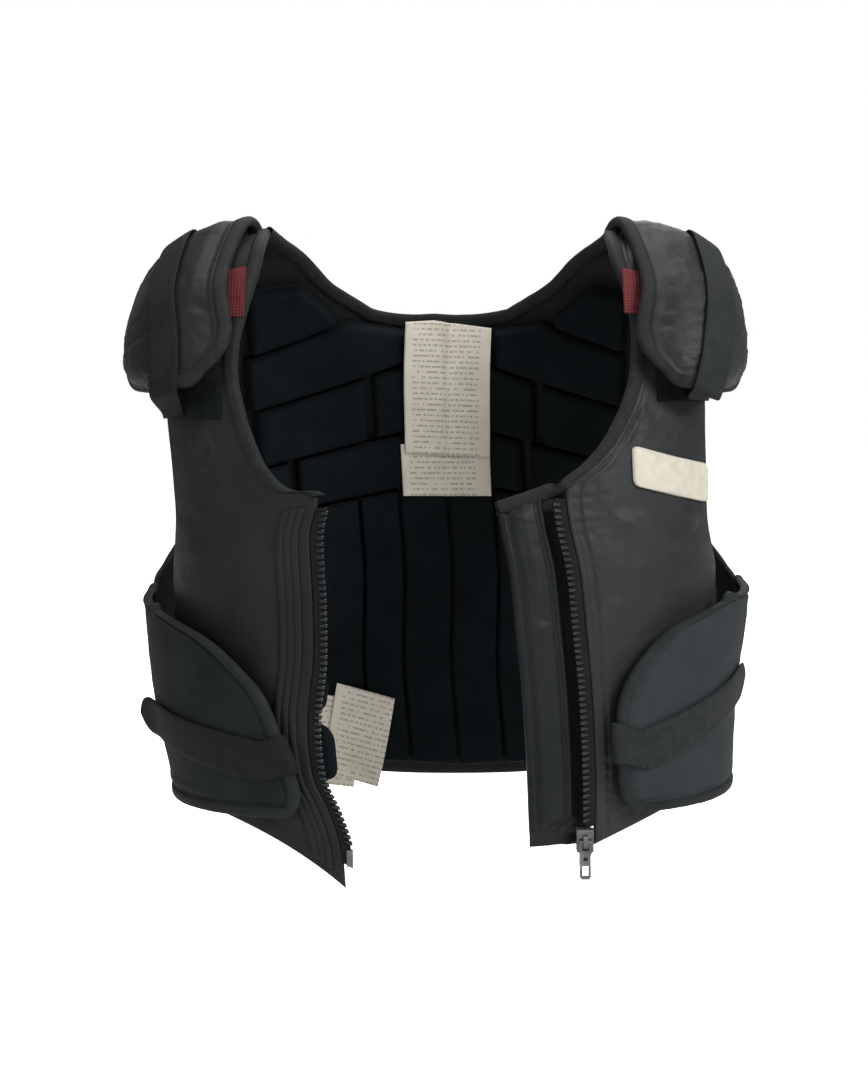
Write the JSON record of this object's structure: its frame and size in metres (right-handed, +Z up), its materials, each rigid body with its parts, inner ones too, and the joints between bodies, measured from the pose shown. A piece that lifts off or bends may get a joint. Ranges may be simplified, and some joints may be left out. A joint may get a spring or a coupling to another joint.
{
  "type": "equestrian body protector",
  "caption": "Padded riding vest, open at the front, with a segmented back, two zip-edged front panels, bound shoulder caps and strapped side wings.",
  "frame": {"origin": "midway between the shoulders, at the height where the vest sits on them", "axes": "+Z up along the wearer's back, the wearer's front towards -Y, +X to the right as seen from the front"},
  "size_m": [0.4352, 0.2534, 0.441],
  "materials": {
    "cover_nylon": "soft satin nylon, charcoal",
    "panel_sheen": "satin nylon, lighter grey sheen",
    "wing_fabric": "matt stretch fabric, dark charcoal",
    "lining_fabric": "matt padded lining, blue-black",
    "binding_tape": "woven binding tape, grey-black",
    "webbing": "ribbed elastic webbing and loop fabric, black",
    "red_fabric": "red mesh fabric",
    "label_tape": "cream satin label",
    "badge_rubber": "moulded cream rubber",
    "zip_plastic": "moulded black plastic",
    "zip_metal": "dark grey enamelled metal"
  },
  "bodies": {
    "vest": {"front_panel_left": "cover_nylon", "neck_binding_front_left": "binding_tape", "wing_left": "wing_fabric", "front_panel_right": "panel_sheen", "neck_binding_front_right": "binding_tape", "wing_right": "wing_fabric", "back_cover_left": "cover_nylon", "back_cover_right": "cover_nylon", "zip_tape_left": "webbing", "zip_teeth_left": "zip_plastic", "zip_tape_right": "webbing", "zip_teeth_right": "zip_plastic", "zip_guard": "cover_nylon", "front_pad_left_1": "lining_fabric", "front_pad_left_2": "lining_fabric", "zip_pin": "zip_metal", "zip_slider": "zip_metal", "zip_box": "zip_metal", "wing_binding_left": "binding_tape", "wing_binding_right": "binding_tape", "neck_binding_back": "binding_tape", "shoulder_cap_left": "cover_nylon", "cap_binding_left": "binding_tape", "velcro_patch_left": "webbing", "red_patch_left": "red_fabric", "shoulder_strap_left": "webbing", "shoulder_cap_right": "cover_nylon", "cap_binding_right": "binding_tape", "velcro_patch_right": "webbing", "red_patch_right": "red_fabric", "shoulder_strap_right": "webbing", "wing_strap_left": "webbing", "wing_strap_right": "webbing", "back_block_upper_left": "lining_fabric", "back_block_upper_right": "lining_fabric", "back_block_shoulder_left": "lining_fabric", "back_block_middle": "lining_fabric", "back_block_shoulder_right": "lining_fabric", "back_block_chest_left": "lining_fabric", "back_block_chest_middle": "lining_fabric", "back_block_chest_right": "lining_fabric", "back_block_waist_left": "lining_fabric", "back_block_waist_middle": "lining_fabric", "back_block_waist_right": "lining_fabric", "back_block_side_left": "lining_fabric", "back_block_channel_1": "lining_fabric", "back_block_channel_2": "lining_fabric", "back_block_channel_3": "lining_fabric", "back_block_channel_4": "lining_fabric", "back_block_channel_5": "lining_fabric", "back_block_side_right": "lining_fabric", "wing_flap_left": "wing_fabric", "placket_left": "cover_nylon", "neck_label_upper": "label_tape", "neck_label_lower": "label_tape", "hanger_loop": "webbing", "side_label_front": "label_tape", "side_label_back": "label_tape", "chest_badge": "badge_rubber"},
    "pull": {"zip_pull": "zip_metal"}
  },
  "joints": [
    {"name": "pull_swing", "type": "hinge", "parent": "vest", "child": "pull", "pos_m": [0.09874, -0.12723, -0.3984], "axis": [-1, 0, 0], "range_deg": [0, 150]}
  ]
}
